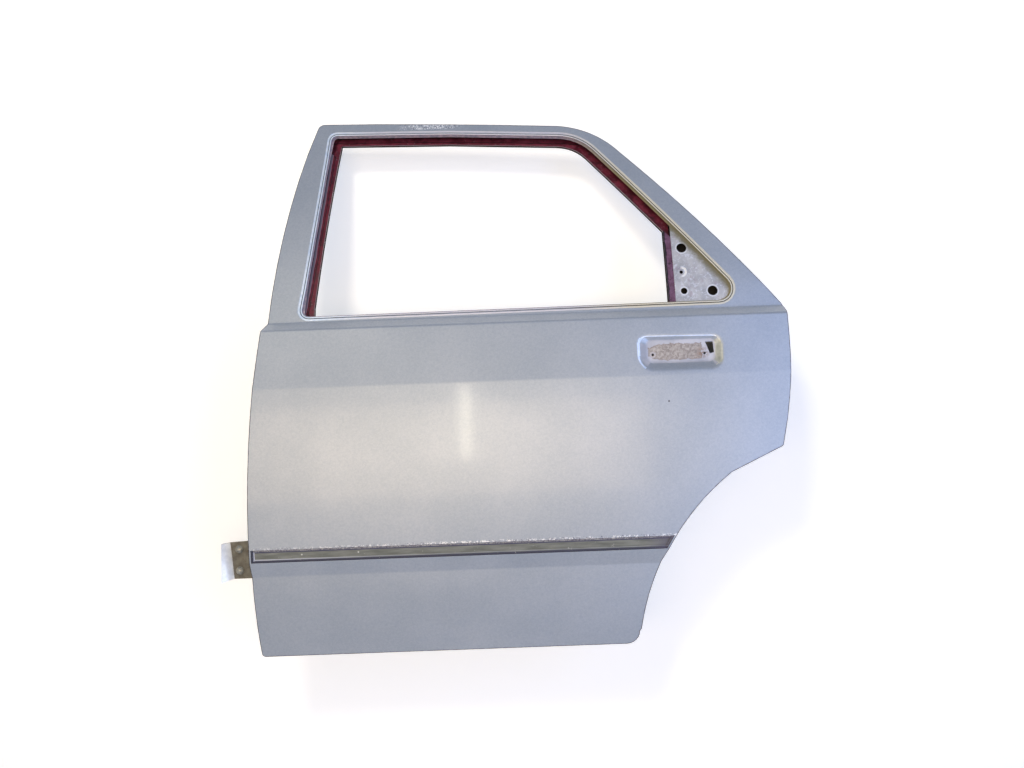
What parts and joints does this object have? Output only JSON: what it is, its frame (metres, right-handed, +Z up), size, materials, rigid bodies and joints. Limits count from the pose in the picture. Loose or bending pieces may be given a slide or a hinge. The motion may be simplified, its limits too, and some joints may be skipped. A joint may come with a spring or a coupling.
{
  "type": "car rear door shell",
  "caption": "Bare pressed-steel rear door of a compact car, with its window frame, run channels, corner panel and lower hinge, hanging on the pillar leaf.",
  "frame": {"origin": "back face of the pillar leaf of the lower hinge, midway between its two bolts", "axes": "+Y inboard, out of the leaf's back face; +X rearward along the door; +Z up"},
  "size_m": [1.141, 0.1947, 1.0977],
  "materials": {
    "silver_paint": "metallic lacquer, dulled",
    "silver_paint_inner": "thin overspray of the same silver",
    "burgundy_paint": "original dark red enamel, dusty",
    "zinc_steel": "dull zinc",
    "hinge_steel": "worn olive grey",
    "bolt_steel": "worn",
    "bitumen": "matt"
  },
  "bodies": {
    "pillar_side": {"pillar_leaf": "hinge_steel", "hinge_pin": "zinc_steel", "pillar_bolts": "bolt_steel"},
    "door": {"outer_skin": "silver_paint", "inner_panel": "silver_paint_inner", "window_frame_inner": "burgundy_paint", "front_run_channel": "burgundy_paint", "header_run_channel": "burgundy_paint", "rear_run_channel": "burgundy_paint", "division_channel": "burgundy_paint", "corner_panel": "silver_paint", "belt_rail_outer": "burgundy_paint", "belt_rail_inner": "burgundy_paint", "front_glass_guide": "zinc_steel", "rear_glass_guide": "zinc_steel", "hinge_plate_upper": "zinc_steel", "hinge_plate_lower": "zinc_steel", "latch_plate": "zinc_steel", "check_strap_plate": "zinc_steel", "handle_plate": "zinc_steel", "armrest_bracket": "zinc_steel", "damping_pad": "bitumen", "door_leaf": "hinge_steel", "door_leaf_bolts": "zinc_steel"}
  },
  "joints": [
    {"name": "door_swing", "type": "hinge", "parent": "pillar_side", "child": "door", "pos_m": [0.042, -0.009, 0], "axis": [0, 0, -1], "range_deg": [0, 68]}
  ]
}
